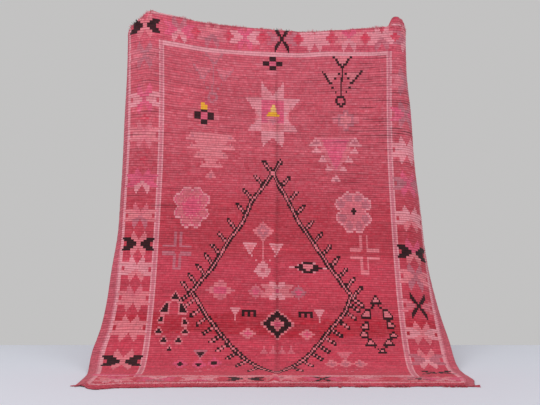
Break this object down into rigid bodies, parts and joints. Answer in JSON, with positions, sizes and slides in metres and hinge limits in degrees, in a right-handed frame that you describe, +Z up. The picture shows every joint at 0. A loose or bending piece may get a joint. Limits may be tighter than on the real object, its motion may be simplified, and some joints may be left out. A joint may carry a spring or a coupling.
{
  "type": "boujad rug",
  "caption": "Hand-knotted wool pile rug, hung from its top edge so that it drops down a wall and sweeps forward onto the floor.",
  "frame": {"origin": "middle of the top edge, where the rug is held up", "axes": "+X to the right seen from the pile side, +Y towards the wall behind the rug, +Z up"},
  "size_m": [1.8128, 1.1749, 1.9365],
  "materials": {
    "rug_pile": "short wool pile in crimson, pale pink, mauve, near-black and a little yellow",
    "end_yarn": "loose wool and cotton yarn ends"
  },
  "bodies": {
    "root": {"rug": "rug_pile", "end_fringe": "end_yarn"}
  },
  "joints": []
}
